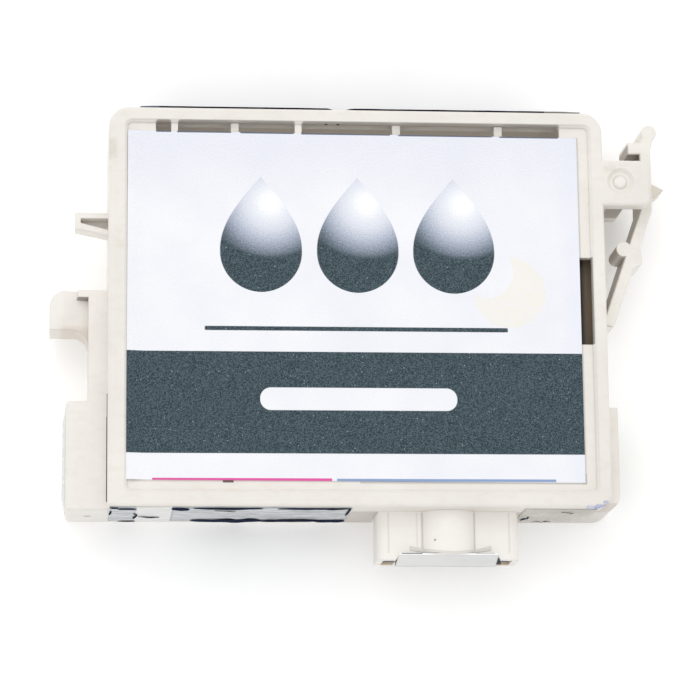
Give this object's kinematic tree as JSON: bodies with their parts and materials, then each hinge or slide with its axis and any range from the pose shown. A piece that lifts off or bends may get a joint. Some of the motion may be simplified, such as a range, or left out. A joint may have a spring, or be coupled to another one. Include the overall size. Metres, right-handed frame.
{
  "type": "inkjet ink cartridge",
  "caption": "Flat single-colour ink cartridge: ribbed case with ink outlet, air valve and hook, framed cover with paper label, springy latch lever.",
  "frame": {"origin": "middle of the case outline on the rear face, which is the resting plane", "axes": "+X along the long side towards the latch lever, +Y from the ink outlet towards the top side, +Z out of the label face"},
  "size_m": [0.0777, 0.0571, 0.0124],
  "materials": {
    "case_plastic": "moulded polypropylene, fine satin",
    "cover_plastic": "moulded polypropylene, fine satin",
    "lever_plastic": "moulded polypropylene, fine satin",
    "label_paper": "coated label paper",
    "dark_label": "printed film label",
    "clear_film": "glossy sealing film",
    "white_film": "foil-backed sealing film",
    "seal_rubber": "moulded elastomer",
    "valve_plastic": "moulded polyacetal",
    "spring_steel": "drawn stainless wire",
    "filter_mesh": "woven stainless mesh",
    "vent_sheet": "porous sheet",
    "board_laminate": "solder-masked laminate",
    "contact_gold": "gold plated copper",
    "chip_resin": "cast resin"
  },
  "bodies": {
    "cartridge": {"case": "case_plastic", "cover": "cover_plastic", "front_label": "label_paper", "top_label": "dark_label", "chamber_film": "clear_film", "rear_film": "clear_film", "channel_film": "clear_film", "port_side_film": "clear_film", "outlet_film": "white_film", "outlet_seal": "seal_rubber", "outlet_spring": "spring_steel", "ink_filter": "filter_mesh", "regulator_spring": "spring_steel", "regulator_cap": "valve_plastic", "air_valve_seal": "seal_rubber", "air_valve_spring": "spring_steel", "air_valve_film": "white_film", "vent_membrane": "vent_sheet", "memory_board": "board_laminate", "board_contacts": "contact_gold", "memory_chip": "chip_resin"},
    "lever": {"latch_lever": "lever_plastic"},
    "outlet_valve": {"outlet_poppet": "valve_plastic"},
    "air_valve": {"air_valve_poppet": "valve_plastic"},
    "regulator_valve": {"regulator_membrane": "seal_rubber"}
  },
  "joints": [
    {"name": "lever_flex", "type": "hinge", "parent": "cartridge", "child": "lever", "pos_m": [0.032, -0.0009, 0.00585], "axis": [0, 0, 1], "range_deg": [0, 5], "stiffness_Nm_per_rad": 0.35},
    {"name": "outlet_valve_slide", "type": "slide", "parent": "cartridge", "child": "outlet_valve", "axis": [0, 1, 0], "range_m": [0, 0.0016], "stiffness_N_per_m": 150, "springref_m": -0.002, "deforming": ["outlet_spring"]},
    {"name": "air_valve_slide", "type": "slide", "parent": "cartridge", "child": "air_valve", "axis": [0, 1, 0], "range_m": [0, 0.0011], "stiffness_N_per_m": 120, "springref_m": -0.0015, "deforming": ["air_valve_spring"]},
    {"name": "regulator_slide", "type": "slide", "parent": "cartridge", "child": "regulator_valve", "axis": [0, 0, 1], "range_m": [0, 0.00025], "stiffness_N_per_m": 60, "springref_m": -0.001, "deforming": ["regulator_membrane", "regulator_spring"]}
  ]
}
